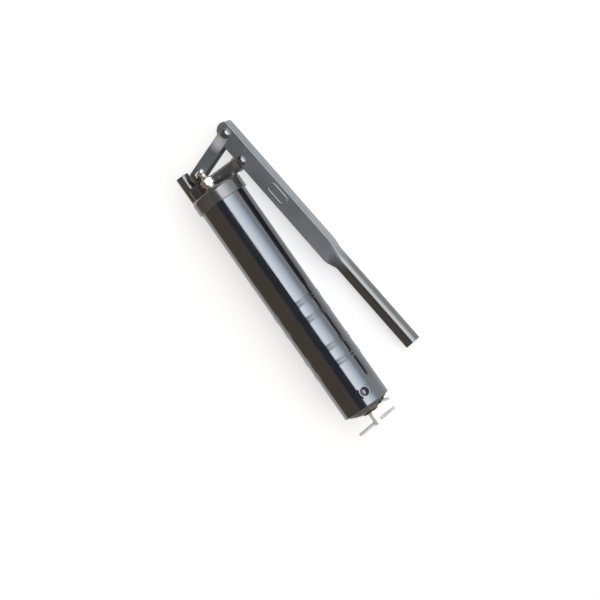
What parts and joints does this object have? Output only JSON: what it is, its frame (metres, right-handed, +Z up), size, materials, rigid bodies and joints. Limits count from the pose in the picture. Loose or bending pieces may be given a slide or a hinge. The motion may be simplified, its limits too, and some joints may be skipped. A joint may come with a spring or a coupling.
{
  "type": "lever grease gun",
  "caption": "Hand lever grease gun: round steel barrel with a pull rod, cast pump head with a threaded outlet, and a pressed lever with a rolled grip on a link.",
  "frame": {"origin": "centre of the bounding box, on the surface the gun lies on", "axes": "+X runs along the barrel from the tail to the pump head, +Z is up with the gun lying on its side, and the lever lies on the -Y side, rolled so that the grip touches the surface"},
  "size_m": [0.3674, 0.1204, 0.0613],
  "materials": {
    "barrel_paint": "gloss black enamel over a smooth drawn tube",
    "cap_paint": "thin brown-black enamel, half gloss",
    "head_paint": "charcoal enamel over a fine sand-cast surface, half gloss",
    "lever_paint": "charcoal enamel over pressed sheet, half gloss",
    "pin_steel": "blackened steel, half gloss",
    "gland_steel": "turned dark steel",
    "bright_zinc": "bright zinc plate",
    "loader_chrome": "bright plated",
    "plain_steel": "plain machined steel",
    "spring_steel": "oiled spring wire",
    "rubber": "matt black nitrile",
    "brass": "dull machined brass"
  },
  "bodies": {
    "gun_body": {"barrel_tube": "barrel_paint", "tail_cap": "cap_paint", "rod_guide_bush": "brass", "spring_seat": "plain_steel", "latch_pivot_pin": "plain_steel", "pump_head": "head_paint", "head_gasket": "rubber", "gland_nut": "gland_steel", "plunger_seal": "rubber", "link_head_pin": "pin_steel", "link_head_clip": "bright_zinc", "outlet_retainer": "brass", "outlet_spring": "spring_steel", "loader_fitting": "loader_chrome", "loader_spring": "spring_steel", "latch_spring": "spring_steel", "follower_spring": "spring_steel"},
    "link": {"link_strap_near": "lever_paint", "link_strap_far": "lever_paint", "link_lever_pin": "pin_steel", "link_lever_clip": "bright_zinc"},
    "lever_arm": {"lever": "lever_paint", "plunger_pin": "pin_steel", "plunger_pin_clip": "bright_zinc"},
    "pump_plunger": {"plunger": "plain_steel"},
    "follower_assembly": {"follower_rod": "bright_zinc", "cross_handle": "bright_zinc", "follower_plate": "plain_steel", "follower_seal": "rubber", "follower_nut": "bright_zinc"},
    "latch": {"release_latch": "bright_zinc"},
    "check_ball": {"outlet_ball": "plain_steel"},
    "filler_ball": {"loader_ball": "plain_steel"}
  },
  "joints": [
    {"name": "link_swing", "type": "hinge", "parent": "gun_body", "child": "link", "pos_m": [0.1523, 0.03642, 0.03239], "axis": [0, -0.2555, 0.9668], "range_deg": [-5.9, 0]},
    {"name": "lever_swing", "type": "hinge", "parent": "link", "child": "lever_arm", "pos_m": [0.1712, -0.01734, 0.01818], "axis": [0, -0.2555, 0.9668], "range_deg": [0, 50]},
    {"name": "plunger_slide", "type": "slide", "parent": "gun_body", "child": "pump_plunger", "axis": [0, -0.9668, -0.2555], "range_m": [0, 0.027]},
    {"name": "rod_slide", "type": "slide", "parent": "gun_body", "child": "follower_assembly", "axis": [-1, 0, 0], "range_m": [0, 0.19], "stiffness_N_per_m": 120, "springref_m": -0.05, "deforming": ["follower_spring"]},
    {"name": "latch_press", "type": "hinge", "parent": "gun_body", "child": "latch", "pos_m": [-0.15287, 0.04173, 0.03379], "axis": [0, -0.2555, 0.9668], "range_deg": [0, 5], "stiffness_Nm_per_rad": 0.3, "springref_deg": -11.46, "deforming": ["latch_spring"]},
    {"name": "check_ball_lift", "type": "slide", "parent": "gun_body", "child": "check_ball", "axis": [1, 0, 0], "range_m": [0, 0.0012], "stiffness_N_per_m": 200, "springref_m": -0.002, "deforming": ["outlet_spring"]},
    {"name": "filler_ball_lift", "type": "slide", "parent": "gun_body", "child": "filler_ball", "axis": [-1, 0, 0], "range_m": [0, 0.0012], "stiffness_N_per_m": 200, "springref_m": -0.002, "deforming": ["loader_spring"]}
  ],
  "couplings": [
    {"joint": "link_swing", "follows": "lever_swing", "ratio": -0.116},
    {"joint": "plunger_slide", "follows": "lever_swing", "m_per_rad": 0.0305}
  ]
}
